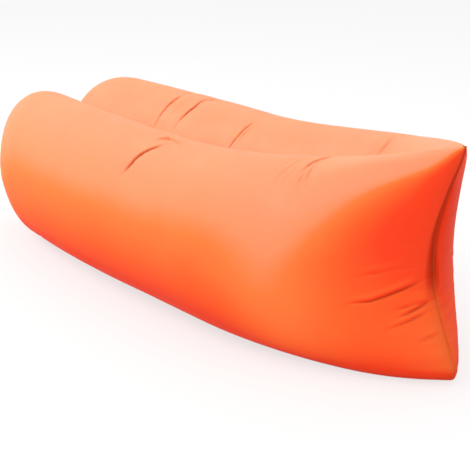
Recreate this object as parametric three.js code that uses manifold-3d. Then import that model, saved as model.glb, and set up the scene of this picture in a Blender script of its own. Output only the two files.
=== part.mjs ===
// Inflatable air lounger: two long air chambers sewn side by side, tall and closed at the head,
// rolled up and buckled at the foot. Millimetres, +Z up, +X towards the head, -Y the near side.
// The origin is on the floor, in the middle of the footprint.
import * as THREE from 'three';
import { mergeVertices } from 'three/addons/utils/BufferGeometryUtils.js';
import Module from 'manifold-3d';

const wasm = await Module();
wasm.setup();

// Chambers, measured over the blown-up fabric
const overall_length = 1960;
const chamber_width = 394;
const body_height = 501;
const head_height = 645;
const head_lift = 4;
const lobe_cap_length = 271;
const lobe_side_cap_length = 294;
const lobe_width = 269;
const lobe_growth_length = 844;
const head_taper_length = 703;
const head_pull = 97;
const head_pull_reach = 424;
const head_lean = 18;
const head_ridge_reach = 68;
const floor_cut = 0.5;

// How the chamber sizes change along the body: powers, and shares of the body's length or width
const contact_share = 0.96;
const rise_start_share = 0.4;
const lift_start_share = 0.86;
const rise_power = 1.57;
const lift_power = 1.5;
const growth_power = 2;
const taper_power = 1.95;
const taper_round = 1.53;
const pull_power = 1.48;

// Fabric, film and seams
const fabric_thickness = 0.4;
const film_thickness = 0.2;
const layer_gap = 0.3;
const head_seam_thickness = 3;
const seam_strip_thickness = 0.8;
const seam_strip_height = 12;
const seam_strip_end_clearance = 30;
const head_binding_width = 12;

// Rolled mouth: the flattened mouth wound round two stiffeners and bent into a ring
const ring_radius = 126;
const ring_proud = 30;
const ring_clearance = 1;
const roll_turns = 3;
const roll_layer_thickness = 1;
const roll_layer_gap = 0.45;
const stiffener_width = 20;
const stiffener_thickness = 1;
const lower_gap_angle = THREE.MathUtils.degToRad(20);
const upper_gap_angle = THREE.MathUtils.degToRad(26);
const mouth_slot_height = 120;
const mouth_slot_width = 10;
const mouth_slot_inset = 3;

// Webbing and side-release buckle
const webbing_width = 25;
const webbing_thickness = 1.6;
const buckle_width = 34;
const buckle_thickness = 12;
const buckle_corner = 4;
const buckle_bevel = 0.8;
const buckle_lift = 5;
const socket_body_length = 30;
const socket_tail_length = 8;
const cavity_width = 27;
const cavity_thickness = 7.4;
const cavity_end_wall = 2;
const window_top_depth = 10;
const window_height = 15;
const plug_base_length = 10.7;
const plug_tail_length = 7.5;
const tail_rail_width = 3.2;
const tail_rail_thickness = 8;
const webbing_bar_radius = 1.75;
const guide_width = 5;
const guide_thickness = 6;
const guide_length = 24;
const arm_thickness = 6.6;
const arm_root_offset = 9.6;
const arm_stem_width = 2.6;
const arm_length = 26;
const arm_catch_gap = 0.5;
const arm_catch_reach = 15.6;
const arm_pad_reach = 16.7;
const arm_tip_offset = 10.2;
const arm_tip_width = 2;
const cut_overrun = 1;

// Counts
const row_count = 28;
const cap_ring_count = 5;
const arc_step_count = 26;
const roll_end_steps = 4;
const recess_facet_count = 48;
const webbing_turn_steps = 8;
const bevel_step_count = 2;
const curve_step_count = 4;
const bar_facet_count = 16;
const seam_point_count = 12;
const body_station_shares = [0.1, 0.22, 0.34, 0.46, 0.57, 0.67, 0.76, 0.84, 0.9, 0.945, 0.975, 0.992, 1];

// Places worked out from the sizes
const head_x = overall_length / 2;
const lobe_tip_x = -overall_length / 2 + ring_proud;
const lobe_rim_x = lobe_tip_x + lobe_cap_length;
const body_length = head_x - lobe_rim_x;
const half_contact_gap = seam_strip_thickness / 2 + layer_gap;
const lobe_centre_z = (body_height - floor_cut) / 2;
const roll_pitch = roll_layer_thickness + roll_layer_gap;
const core_half_thickness = stiffener_thickness + 1.5 * layer_gap;
const roll_start_offset = core_half_thickness + roll_layer_thickness / 2;
const roll_half_thickness = roll_start_offset + roll_pitch * roll_turns + roll_layer_thickness / 2;
const roll_side_reach = stiffener_width / 2 + roll_half_thickness - roll_pitch / 2;
const roll_side_shift = roll_pitch / 4;
const roll_half_width = roll_side_reach;
const ring_outer_radius = ring_radius + roll_half_thickness;
const ring_x = -overall_length / 2 + ring_radius + buckle_thickness / 2;
const ring_z = lobe_centre_z;
const buckle_x = ring_x - ring_radius;
const buckle_z = ring_z + buckle_lift;

// A rounded end: nothing at the tip, and the full size from its length onwards.
function endCap(distance, length) {
  const left = 1 - Math.min(1, distance / length);
  return Math.sqrt(1 - left ** 2);
}

// A chamber's cross-section is an ellipse cut off at the middle plane, where the chambers press
// on each other. It grows from the lobe, rises towards the head and thins out to the head seam.
function sectionAt(x) {
  const from_head = head_x - x;
  const from_tip = x - lobe_tip_x;
  const share = Math.max(0, (x - lobe_rim_x) / body_length);
  const growth = 1 - (1 - Math.min(1, from_tip / lobe_growth_length)) ** growth_power;
  const full_width = lobe_width + (chamber_width - lobe_width) * growth;
  const near_head = Math.min(1, from_head / head_taper_length);
  const taper = (1 - (1 - near_head) ** taper_power) ** (1 / taper_round);
  const width = head_seam_thickness + (full_width - head_seam_thickness) * taper;
  const contact = contact_share * (1 - Math.exp(-from_head / head_ridge_reach));
  const rise = Math.max(0, (share - rise_start_share) / (1 - rise_start_share)) ** rise_power;
  const lift = Math.max(0, (share - lift_start_share) / (1 - lift_start_share)) ** lift_power;
  const top = body_height + (head_height - body_height) * rise;
  const bottom = head_lift * lift - floor_cut;
  return {
    x,
    centre_y: (width * contact) / (1 + contact),
    half_width: (endCap(from_tip, lobe_side_cap_length) * width) / (1 + contact),
    centre_z: (top + bottom) / 2,
    half_height: (endCap(from_tip, lobe_cap_length) * (top - bottom)) / 2,
    head_share: Math.exp(-from_head / head_pull_reach),
  };
}

// The head seam is drawn in at mid-height and its top leans back a little.
function headDraw(height_share) {
  const drawn_in = Math.max(0, 1 - height_share ** 2) ** pull_power;
  return head_pull * drawn_in + (head_lean * (1 + height_share)) / 2;
}

// One ring of points: the rows are spaced evenly round the ellipse and reach its full size. The
// outer side is never thinner than the sewn head seam.
function sectionRing(section) {
  const ring = [];
  const row_reach = Math.cos(Math.PI / row_count);
  for (let row = 0; row < row_count; row += 1) {
    const turn = -Math.PI / 2 + ((row + 0.5) * 2 * Math.PI) / row_count;
    const height_share = Math.sin(turn) / row_reach;
    const side_share = Math.cos(turn) / row_reach;
    const least_y = side_share > 0 ? head_seam_thickness : half_contact_gap;
    ring.push(new THREE.Vector3(
      section.x - section.head_share * headDraw(height_share),
      Math.max(least_y, section.centre_y + section.half_width * side_share),
      Math.max(0, section.centre_z + section.half_height * height_share),
    ));
  }
  return ring;
}

// All rings of the far chamber, from the lobe's tip to the head seam.
function chamberRings() {
  const rings = [];
  for (let step = 1; step <= cap_ring_count; step += 1) {
    const tilt = (Math.PI / 2) * (1 - step / cap_ring_count);
    const x = lobe_rim_x - lobe_cap_length * Math.sin(tilt);
    rings.push(sectionRing(sectionAt(x)));
  }
  for (const share of body_station_shares) {
    rings.push(sectionRing(sectionAt(lobe_rim_x + share * body_length)));
  }
  return rings;
}

// The thin last ring moved inwards: off the head seam, and away from its faces and its corners.
function insetHeadPoint(point, inset) {
  const moved = point.clone();
  moved.x -= inset;
  moved.y = Math.max(half_contact_gap + inset, Math.min(head_seam_thickness - inset, point.y));
  moved.z = Math.max(head_lift + 2 * inset, Math.min(head_height - 2 * inset, point.z));
  return moved;
}

// The same rings moved inwards along the surface's normals, by one layer or more.
function insetRings(rings, inset) {
  const last = rings.length - 1;
  return rings.map((ring, index) => ring.map((point, row) => {
    if (inset > 0 && index === last) {
      return insetHeadPoint(point, inset);
    }
    const along = rings[Math.min(index + 1, last)][row].clone();
    along.sub(rings[Math.max(index - 1, 0)][row]);
    const round = ring[(row + 1) % row_count].clone();
    round.sub(ring[(row + row_count - 1) % row_count]);
    const outward = round.cross(along).normalize();
    return point.clone().addScaledVector(outward, -inset);
  }));
}

// Turns vertices and triangles into a geometry whose faces point outwards.
function closedGeometry(points, triangles) {
  let volume = 0;
  for (const [a, b, c] of triangles) {
    volume += points[a].dot(points[b].clone().cross(points[c]));
  }
  const ordered = volume < 0 ? triangles.map(([a, b, c]) => [a, c, b]) : triangles;
  const geometry = new THREE.BufferGeometry();
  geometry.setAttribute('position', new THREE.Float32BufferAttribute(points.flatMap((p) => p.toArray()), 3));
  geometry.setIndex(ordered.flat());
  return geometry;
}

// Two triangles for each step along the rings and round them.
function ringSides(ring_total, round_total) {
  const triangles = [];
  for (let ring = 0; ring + 1 < ring_total; ring += 1) {
    for (let row = 0; row < round_total; row += 1) {
      const next = (row + 1) % round_total;
      const a = ring * round_total + row;
      const b = a + round_total;
      const c = (ring + 1) * round_total + next;
      const d = ring * round_total + next;
      triangles.push([a, b, c], [a, c, d]);
    }
  }
  return triangles;
}

// A chamber's closed skin: a pole at the lobe's tip and a strip across the thin head end.
function chamberSkin(inset) {
  const rings = insetRings(chamberRings(), inset);
  const tip = sectionAt(lobe_tip_x);
  const points = rings.flat();
  points.push(new THREE.Vector3(lobe_tip_x + inset, tip.centre_y, tip.centre_z));
  const triangles = ringSides(rings.length, row_count);
  const first_of_last = (rings.length - 1) * row_count;
  for (let row = 0; row < row_count; row += 1) {
    triangles.push([points.length - 1, row, (row + 1) % row_count]);
  }
  for (let row = 0; row + 1 < row_count / 2; row += 1) {
    const a = first_of_last + row;
    const b = first_of_last + row_count - 1 - row;
    triangles.push([a + 1, a, b], [a + 1, b, b - 1]);
  }
  return closedGeometry(points, triangles);
}

// An outline carried along frames, with flat ends.
function sweptGeometry(outline, frames) {
  const points = frames.flatMap((frame) => outline.map((p) => frame.origin.clone()
    .addScaledVector(frame.across, p.x)
    .addScaledVector(frame.sideways, p.y)));
  const triangles = ringSides(frames.length, outline.length);
  const first_of_last = (frames.length - 1) * outline.length;
  for (const [a, b, c] of THREE.ShapeUtils.triangulateShape(outline, [])) {
    triangles.push([a, b, c], [first_of_last + c, first_of_last + b, first_of_last + a]);
  }
  const outline_turns_left = THREE.ShapeUtils.area(outline) > 0;
  if (!outline_turns_left) {
    throw new Error('an outline must run counter-clockwise');
  }
  return closedGeometry(points, triangles);
}

// The point of the ring at an angle from +X towards +Z, with its outward direction.
function ringFrame(angle, radius) {
  const across = new THREE.Vector3(Math.cos(angle), 0, Math.sin(angle));
  const origin = new THREE.Vector3(ring_x, 0, ring_z).addScaledVector(across, radius);
  return { origin, across, sideways: new THREE.Vector3(0, 1, 0) };
}

// Frames along the ring, from its lower end round the +X side to its upper end.
function ringFrames() {
  const start = -Math.PI + lower_gap_angle;
  const finish = Math.PI - upper_gap_angle;
  const frames = [];
  for (let step = 0; step <= arc_step_count; step += 1) {
    frames.push(ringFrame(start + ((finish - start) * step) / arc_step_count, ring_radius));
  }
  return frames;
}

// One edge of the rolled layer: a flattened spiral with round ends. It starts and ends on the
// ring's outer side, where the sleeves run into it.
function rollEdge(side_offset) {
  const edge = [];
  const straight = stiffener_width / 2;
  for (let half = 0; half < 2 * roll_turns; half += 1) {
    for (let step = 0; step <= roll_end_steps; step += 1) {
      const turned = half + step / roll_end_steps;
      const turn = Math.PI / 2 + Math.PI * turned;
      const reach = roll_start_offset + (roll_pitch * turned) / 2 + side_offset;
      const side = (half % 2 === 0 ? -straight : straight) - roll_side_shift;
      edge.push(new THREE.Vector2(reach * Math.sin(turn), side + reach * Math.cos(turn)));
    }
  }
  return edge;
}

// The section of the rolled mouth: the outer edge of the layer out, and its inner edge back.
function rollOutline() {
  const outer = rollEdge(roll_layer_thickness / 2);
  const inner = rollEdge(-roll_layer_thickness / 2);
  const outline = [...outer, ...inner.reverse()];
  return THREE.ShapeUtils.area(outline) < 0 ? outline.reverse() : outline;
}

// A rectangle about a point, counter-clockwise.
function rectangle(centre_across, thickness, width) {
  const low = centre_across - thickness / 2;
  const high = centre_across + thickness / 2;
  return [
    new THREE.Vector2(low, -width / 2),
    new THREE.Vector2(high, -width / 2),
    new THREE.Vector2(high, width / 2),
    new THREE.Vector2(low, width / 2),
  ];
}

// Solids for joining and cutting
function solidOf(geometry) {
  const bare = geometry.index ? geometry.clone() : geometry;
  bare.deleteAttribute('normal');
  bare.deleteAttribute('uv');
  const merged = mergeVertices(bare, 1e-4);
  const vertProperties = new Float32Array(merged.attributes.position.array);
  const triVerts = new Uint32Array(merged.index.array);
  return new wasm.Manifold(new wasm.Mesh({ numProp: 3, vertProperties, triVerts }));
}

function geometryOf(solid) {
  const mesh = solid.getMesh();
  const geometry = new THREE.BufferGeometry();
  const positions = new Float32Array((mesh.vertProperties.length / mesh.numProp) * 3);
  for (let index = 0; index < positions.length / 3; index += 1) {
    positions.set(mesh.vertProperties.slice(index * mesh.numProp, index * mesh.numProp + 3), index * 3);
  }
  geometry.setAttribute('position', new THREE.BufferAttribute(positions, 3));
  geometry.setIndex(new THREE.BufferAttribute(new Uint32Array(mesh.triVerts), 1));
  return geometry;
}

function boxSolid(low, high) {
  const size = high.clone().sub(low);
  const middle = low.clone().add(high).multiplyScalar(0.5);
  const geometry = new THREE.BoxGeometry(size.x, size.y, size.z);
  geometry.translate(middle.x, middle.y, middle.z);
  return solidOf(geometry);
}

// A round bar along Y.
function barSolid(radius, length, x, z, facets) {
  const geometry = new THREE.CylinderGeometry(radius, radius, length, facets);
  geometry.translate(x, 0, z);
  return solidOf(geometry);
}

// An outline drawn in Y and Z, extruded along X about the buckle's middle plane.
function plateSolid(shape, thickness, bevel) {
  const geometry = new THREE.ExtrudeGeometry(shape, {
    depth: thickness - 2 * bevel,
    bevelEnabled: bevel > 0,
    bevelThickness: bevel,
    bevelSize: bevel,
    bevelOffset: -bevel,
    bevelSegments: bevel_step_count,
    curveSegments: curve_step_count,
  });
  geometry.translate(0, 0, -thickness / 2 + bevel);
  const turn = new THREE.Matrix4().makeBasis(
    new THREE.Vector3(0, 1, 0),
    new THREE.Vector3(0, 0, 1),
    new THREE.Vector3(1, 0, 0),
  );
  geometry.applyMatrix4(turn);
  geometry.translate(buckle_x, 0, buckle_z);
  return solidOf(geometry);
}

// The disc of space that the ring takes up between the lobes, grown by an inset.
function ringRecess(inset) {
  const radius = ring_outer_radius + ring_clearance + inset;
  const half_width = roll_half_width + layer_gap + inset;
  return barSolid(radius, 2 * half_width, ring_x, ring_z, recess_facet_count);
}

// The slot through which a sleeve's mouth runs into the roll.
function mouthSlot() {
  const slot_x = ring_x + ring_outer_radius + ring_clearance;
  const sagitta = slot_x - ring_x - Math.sqrt((slot_x - ring_x) ** 2 - (mouth_slot_height / 2) ** 2);
  const low = new THREE.Vector3(slot_x - sagitta, mouth_slot_inset, ring_z - mouth_slot_height / 2);
  const high = new THREE.Vector3(
    slot_x + mouth_slot_width,
    mouth_slot_inset + mouth_slot_width,
    ring_z + mouth_slot_height / 2,
  );
  low.x -= cut_overrun;
  return boxSolid(low, high);
}

// A thin sleeve: one skin less the next one in, less the slot at its mouth.
function sleeve(outer_inset, thickness) {
  const outside = solidOf(chamberSkin(outer_inset)).subtract(ringRecess(outer_inset));
  const inner_inset = outer_inset + thickness;
  const inside = solidOf(chamberSkin(inner_inset)).subtract(ringRecess(inner_inset));
  return outside.subtract(inside).subtract(mouthSlot());
}

// The near chamber is the far one mirrored in the middle plane.
function mirrored(solid) {
  return solid.mirror([0, 1, 0]);
}

// A strip between the two sleeves along the line where they are sewn together.
function centreSeamStrip() {
  const start = ring_x + ring_outer_radius + seam_strip_end_clearance;
  const finish = head_x - head_pull - head_lean / 2 - seam_strip_end_clearance;
  const low = new THREE.Vector3(start, -seam_strip_thickness / 2, lobe_centre_z - seam_strip_height / 2);
  const high = new THREE.Vector3(finish, seam_strip_thickness / 2, lobe_centre_z + seam_strip_height / 2);
  return geometryOf(boxSolid(low, high));
}

// The tape over the raw edges of the head seam, flat between the sleeves along the drawn-in line.
function headSeamBinding() {
  const half_height = (head_height - head_lift) / 2;
  const middle_z = (head_height + head_lift) / 2;
  const line = [];
  for (let step = 0; step <= seam_point_count; step += 1) {
    const height_share = -1 + (2 * step) / seam_point_count;
    line.push(new THREE.Vector2(head_x - headDraw(height_share), middle_z + half_height * height_share));
  }
  const back = line.map((p) => new THREE.Vector2(p.x - head_binding_width, p.y)).reverse();
  const frames = [-1, 1].map((side) => ({
    origin: new THREE.Vector3(0, (side * seam_strip_thickness) / 2, 0),
    across: new THREE.Vector3(1, 0, 0),
    sideways: new THREE.Vector3(0, 0, 1),
  }));
  return sweptGeometry([...line, ...back], frames);
}

// A webbing tab: out of the roll's end, round the buckle's bar and back to the roll's end.
function webbingTab(end_angle, bar_z, way) {
  const end = ringFrame(end_angle, ring_radius);
  const onward = new THREE.Vector3(-Math.sin(end_angle), 0, Math.cos(end_angle)).multiplyScalar(way);
  const root = end.origin.clone().addScaledVector(onward, layer_gap);
  const bar = new THREE.Vector3(buckle_x, 0, bar_z);
  const back = root.clone().sub(bar).normalize();
  const side = new THREE.Vector3(back.z, 0, -back.x);
  if (side.dot(end.across) < 0) {
    side.negate();
  }
  const wrap = webbing_bar_radius + layer_gap + webbing_thickness / 2;
  const half_pair = (webbing_thickness + layer_gap) / 2;
  const sideways = new THREE.Vector3(0, 1, 0);
  const frames = [{ origin: root.clone().addScaledVector(end.across, half_pair), across: end.across, sideways }];
  for (let step = 0; step <= webbing_turn_steps; step += 1) {
    const turn = (Math.PI * step) / webbing_turn_steps;
    const across = side.clone().multiplyScalar(Math.cos(turn)).addScaledVector(back, -Math.sin(turn));
    frames.push({ origin: bar.clone().addScaledVector(across, wrap), across, sideways });
  }
  frames.push({
    origin: root.clone().addScaledVector(end.across, -half_pair),
    across: end.across.clone().negate(),
    sideways,
  });
  return sweptGeometry(rectangle(0, webbing_thickness, webbing_width), frames);
}

// A block outline with two rounded corners on the side away from the parting line.
function housingOutline(length, way) {
  const half = buckle_width / 2;
  const shape = new THREE.Shape();
  shape.moveTo(-half, 0);
  shape.lineTo(-half, way * (length - buckle_corner));
  shape.quadraticCurveTo(-half, way * length, -half + buckle_corner, way * length);
  shape.lineTo(half - buckle_corner, way * length);
  shape.quadraticCurveTo(half, way * length, half, way * (length - buckle_corner));
  shape.lineTo(half, 0);
  shape.closePath();
  return shape;
}

// Two rails and a round bar that hold the webbing at one end of a buckle half.
function webbingTail(body_length_here, tail_length, way) {
  const start = buckle_z + way * (body_length_here - buckle_corner);
  const finish = buckle_z + way * (body_length_here + tail_length);
  const outer = buckle_width / 2 - buckle_bevel;
  let tail = barSolid(webbing_bar_radius, 2 * outer, buckle_x, finish - way * webbing_bar_radius, bar_facet_count);
  for (const side of [-1, 1]) {
    const low_y = side < 0 ? -outer : outer - tail_rail_width;
    const low = new THREE.Vector3(buckle_x - tail_rail_thickness / 2, low_y, Math.min(start, finish));
    const high = new THREE.Vector3(
      buckle_x + tail_rail_thickness / 2,
      low_y + tail_rail_width,
      Math.max(start, finish),
    );
    tail = tail.add(boxSolid(low, high));
  }
  return tail;
}

// The socket: a flat box open at the top, with a window in each side for the latch arms.
function buckleSocket() {
  let socket = plateSolid(housingOutline(socket_body_length, -1), buckle_thickness, buckle_bevel);
  const cavity_low = new THREE.Vector3(
    buckle_x - cavity_thickness / 2,
    -cavity_width / 2,
    buckle_z - socket_body_length + cavity_end_wall,
  );
  const cavity_high = new THREE.Vector3(
    buckle_x + cavity_thickness / 2,
    cavity_width / 2,
    buckle_z + cut_overrun,
  );
  const window_low = new THREE.Vector3(
    buckle_x - cavity_thickness / 2,
    -buckle_width / 2 - cut_overrun,
    buckle_z - window_top_depth - window_height,
  );
  const window_high = new THREE.Vector3(
    buckle_x + cavity_thickness / 2,
    buckle_width / 2 + cut_overrun,
    buckle_z - window_top_depth,
  );
  socket = socket.subtract(boxSolid(cavity_low, cavity_high));
  socket = socket.subtract(boxSolid(window_low, window_high));
  return socket.add(webbingTail(socket_body_length, socket_tail_length, -1));
}

// The plug: a base with its webbing bar, and the guide that keeps it straight in the socket.
function bucklePlug() {
  const base_low = layer_gap;
  const shape = housingOutline(plug_base_length + base_low, 1);
  let plug = plateSolid(shape, buckle_thickness, buckle_bevel);
  const trim_low = new THREE.Vector3(
    buckle_x - buckle_thickness,
    -buckle_width,
    buckle_z - cut_overrun - buckle_bevel,
  );
  const trim_high = new THREE.Vector3(
    buckle_x + buckle_thickness,
    buckle_width,
    buckle_z + base_low,
  );
  plug = plug.subtract(boxSolid(trim_low, trim_high));
  const guide_low = new THREE.Vector3(
    buckle_x - guide_thickness / 2,
    -guide_width / 2,
    buckle_z - guide_length,
  );
  const guide_high = new THREE.Vector3(
    buckle_x + guide_thickness / 2,
    guide_width / 2,
    buckle_z + plug_base_length / 2,
  );
  plug = plug.add(boxSolid(guide_low, guide_high));
  return plug.add(webbingTail(plug_base_length + base_low, plug_tail_length, 1));
}

// A latch arm, drawn for the far side: stem, catch, thumb pad in the window, and tapered tip.
function latchArm(side) {
  const catch_z = -window_top_depth - arm_catch_gap;
  const pad_z = catch_z - window_height / 2;
  const stem_outer = arm_root_offset + arm_stem_width;
  const outline = [
    [arm_root_offset, 0],
    [arm_root_offset, catch_z],
    [arm_root_offset - arm_tip_width / 2, pad_z],
    [arm_tip_offset - arm_tip_width / 2, -arm_length + arm_tip_width],
    [arm_tip_offset, -arm_length],
    [arm_tip_offset + arm_tip_width, -arm_length],
    [arm_pad_reach - arm_tip_width / 2, pad_z - window_height / 4],
    [arm_pad_reach, pad_z],
    [arm_catch_reach, catch_z],
    [stem_outer, catch_z],
    [stem_outer, 0],
  ];
  const shape = new THREE.Shape(outline.map(([y, z]) => new THREE.Vector2(side * y, z)));
  return plateSolid(shape, arm_thickness, 0);
}

// Materials
const fabric_orange = { color: 0xf86c35, roughness: 0.5, metalness: 0 };
const film_clear = { color: 0xdfe6ea, roughness: 0.25, metalness: 0 };
const strip_white = { color: 0xe8e6e0, roughness: 0.45, metalness: 0 };
const webbing_black = { color: 0x1c1c1e, roughness: 0.85, metalness: 0 };
const moulding_black = { color: 0x161618, roughness: 0.4, metalness: 0 };

const lounger = new THREE.Group();

function addPiece(name, geometry, look) {
  const mesh = new THREE.Mesh(geometry, new THREE.MeshStandardMaterial(look));
  mesh.name = name;
  lounger.add(mesh);
}

// Sleeves and the air bladders inside them
const cover = sleeve(0, fabric_thickness);
const bladder = sleeve(fabric_thickness + layer_gap, film_thickness);
addPiece('far_chamber_cover', geometryOf(cover), fabric_orange);
addPiece('near_chamber_cover', geometryOf(mirrored(cover)), fabric_orange);
addPiece('far_air_bladder', geometryOf(bladder), film_clear);
addPiece('near_air_bladder', geometryOf(mirrored(bladder)), film_clear);

// Seams
addPiece('centre_seam_strip', centreSeamStrip(), fabric_orange);
addPiece('head_seam_binding', headSeamBinding(), fabric_orange);

// Rolled mouth and the stiffeners in its core
const stiffener_offset = (stiffener_thickness + layer_gap) / 2;
addPiece('rolled_mouth', sweptGeometry(rollOutline(), ringFrames()), fabric_orange);
for (const [name, side] of [['inner_mouth_stiffener', -1], ['outer_mouth_stiffener', 1]]) {
  const outline = rectangle(side * stiffener_offset, stiffener_thickness, stiffener_width);
  addPiece(name, sweptGeometry(outline, ringFrames()), strip_white);
}

// Webbing tabs and buckle
const socket_bar_z = buckle_z - socket_body_length - socket_tail_length + webbing_bar_radius;
const plug_bar_z = buckle_z + plug_base_length + layer_gap + plug_tail_length - webbing_bar_radius;
addPiece('socket_webbing_tab', webbingTab(-Math.PI + lower_gap_angle, socket_bar_z, -1), webbing_black);
addPiece('plug_webbing_tab', webbingTab(Math.PI - upper_gap_angle, plug_bar_z, 1), webbing_black);
addPiece('buckle_socket', geometryOf(buckleSocket()), moulding_black);
addPiece('buckle_plug', geometryOf(bucklePlug()), moulding_black);
addPiece('far_latch_arm', geometryOf(latchArm(1)), moulding_black);
addPiece('near_latch_arm', geometryOf(latchArm(-1)), moulding_black);

export default lounger;
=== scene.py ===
import math

import bmesh
import bpy
import numpy as np
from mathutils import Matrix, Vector


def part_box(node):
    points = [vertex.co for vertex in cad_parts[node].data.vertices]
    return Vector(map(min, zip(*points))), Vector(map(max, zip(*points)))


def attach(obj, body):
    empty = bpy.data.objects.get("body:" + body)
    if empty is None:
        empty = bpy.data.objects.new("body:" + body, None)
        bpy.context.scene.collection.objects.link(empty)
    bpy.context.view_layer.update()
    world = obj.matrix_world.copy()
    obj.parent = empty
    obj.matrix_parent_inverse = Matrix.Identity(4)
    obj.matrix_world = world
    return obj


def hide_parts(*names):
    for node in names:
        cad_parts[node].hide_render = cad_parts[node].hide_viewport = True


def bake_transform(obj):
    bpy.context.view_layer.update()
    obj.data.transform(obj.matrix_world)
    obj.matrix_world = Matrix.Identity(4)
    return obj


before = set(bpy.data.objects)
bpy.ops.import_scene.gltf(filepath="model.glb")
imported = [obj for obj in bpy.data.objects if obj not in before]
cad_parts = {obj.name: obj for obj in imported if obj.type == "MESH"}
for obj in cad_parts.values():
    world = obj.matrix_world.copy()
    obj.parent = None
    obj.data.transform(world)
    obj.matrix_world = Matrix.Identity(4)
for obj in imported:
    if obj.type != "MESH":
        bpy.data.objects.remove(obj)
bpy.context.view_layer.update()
scene = bpy.context.scene


# Chamber covers: two long sleeves of ripstop nylon, sewn side by side and blown up tight. Each is
# an ellipse cut off where the two press together, round at the lobe, tall and thin at the head.
LOBE_TIP_X = -0.95
HEAD_X = 0.98
LOBE_CAP_LENGTH = 0.271
LOBE_SIDE_CAP_LENGTH = 0.294
LOBE_WIDTH = 0.269
LOBE_GROWTH_LENGTH = 0.844
CHAMBER_WIDTH = 0.394
BODY_HEIGHT = 0.501
HEAD_HEIGHT = 0.645
HEAD_LIFT = 0.004
FLOOR_CUT = 0.0005
HEAD_TAPER_LENGTH = 0.703
HEAD_PULL = 0.097
HEAD_PULL_REACH = 0.424
HEAD_LEAN = 0.018
HEAD_RIDGE_REACH = 0.068
HEAD_SEAM_THICKNESS = 0.003
HALF_CONTACT_GAP = 0.0007
CONTACT_SHARE = 0.96
RISE_START_SHARE, RISE_POWER = 0.4, 1.57
LIFT_START_SHARE, LIFT_POWER = 0.86, 1.5
GROWTH_POWER = 2.0
TAPER_POWER, TAPER_ROUND = 1.95, 1.53
PULL_POWER = 1.48
CREASE_SOFTNESS, LEAST_SOFTNESS_SHARE = 0.004, 0.05
CORNER_START, CORNER_ROUND = 0.88, 0.035
FAR_LIP, NEAR_LIP, LIP_REACH, LIP_POWER = 0.013, 0.006, 0.035, 1.5
LIP_HEIGHTS, LIP_OFF_SEAM = (-0.5, 0.0, 0.35, 0.85), (0.003, 0.014)
FREE_REACH = 0.004
CAP_ROWS, BODY_ROWS, ROUND_COLUMNS = 44, 284, 300
CLOTH_PRESSURE, CLOTH_FRAMES, CLOTH_QUALITY, CLOTH_BENDING = 4.0, 20, 4, 0.05
CLOTH_CAP, WEIGHT_STEPS = 0.004, 10
BROAD_ROWS, BROAD_COLUMNS = 12, 8
SPARE_CLOTH, SPARE_REACH = 0.03, 0.09
RING_X, RING_Z, RING_RADIUS = -0.848, 0.25025, 0.126
ROLL_HALF_THICKNESS, ROLL_HALF_WIDTH = 0.0068, 0.0161


def end_cap(distance, length):
    """A rounded end: 0 at the tip and 1 from its length on, along a quarter circle."""
    return np.sqrt(np.clip(1 - (1 - np.clip(distance / length, 0, 1)) ** 2, 0, 1))


def smooth(value, low, high):
    """0 below low, 1 above high, and 3 t^2 - 2 t^3 between them."""
    share = np.clip((value - low) / (high - low), 0, 1)
    return share * share * (3 - 2 * share)


def band(value, low, full, falling, gone):
    """1 between full and falling, easing to 0 at low and gone."""
    return smooth(value, low, full) * (1 - smooth(value, falling, gone))


def head_draw(height_share):
    """How far the head seam lies behind the head's plane: drawn in at mid-height by
    (1 - h^2)^1.48, leaning back at the top, and rounded off along a quarter circle at the foot."""
    drawn_in = np.clip(1 - height_share**2, 0, 1) ** PULL_POWER
    corner = np.clip((-CORNER_START - height_share) / (1 - CORNER_START), 0, 1)
    rounded = CORNER_ROUND * (1 - np.sqrt(1 - corner**2))
    return HEAD_PULL * drawn_in + HEAD_LEAN * (1 + height_share) / 2 + rounded


def chamber_surface(x, turn):
    """The far chamber's point for a place along it and a turn round its section, in metres.
    Section: y = centre + half width * cos(turn), z = centre + half height * sin(turn), cut off at
    the middle plane and the floor. The head end is drawn back with the head seam."""
    from_head, from_tip = HEAD_X - x, x - LOBE_TIP_X
    body_start = LOBE_TIP_X + LOBE_CAP_LENGTH
    share = np.clip((x - body_start) / (HEAD_X - body_start), 0, 1)
    growth = 1 - (1 - np.clip(from_tip / LOBE_GROWTH_LENGTH, 0, 1)) ** GROWTH_POWER
    full_width = LOBE_WIDTH + (CHAMBER_WIDTH - LOBE_WIDTH) * growth
    near_head = np.clip(from_head / HEAD_TAPER_LENGTH, 0, 1)
    taper = (1 - (1 - near_head) ** TAPER_POWER) ** (1 / TAPER_ROUND)
    width = HEAD_SEAM_THICKNESS + (full_width - HEAD_SEAM_THICKNESS) * taper
    contact = CONTACT_SHARE * (1 - np.exp(-from_head / HEAD_RIDGE_REACH))
    rise = np.clip((share - RISE_START_SHARE) / (1 - RISE_START_SHARE), 0, 1) ** RISE_POWER
    lift = np.clip((share - LIFT_START_SHARE) / (1 - LIFT_START_SHARE), 0, 1) ** LIFT_POWER
    top = BODY_HEIGHT + (HEAD_HEIGHT - BODY_HEIGHT) * rise
    bottom = HEAD_LIFT * lift - FLOOR_CUT
    half_width = end_cap(from_tip, LOBE_SIDE_CAP_LENGTH) * width / (1 + contact)
    half_height = end_cap(from_tip, LOBE_CAP_LENGTH) * (top - bottom) / 2
    height_share, side_share = np.sin(turn), np.cos(turn)
    x_out = x - np.exp(-from_head / HEAD_PULL_REACH) * head_draw(height_share)
    y_raw = width * contact / (1 + contact) + half_width * side_share
    softness = CREASE_SOFTNESS * np.clip(from_head / HEAD_RIDGE_REACH, LEAST_SOFTNESS_SHARE, 1)
    y_out = (y_raw + np.sqrt(y_raw**2 + softness**2)) / 2 + HALF_CONTACT_GAP
    z_out = np.maximum(0, (top + bottom) / 2 + half_height * height_share)
    return x_out, y_out, z_out


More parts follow.
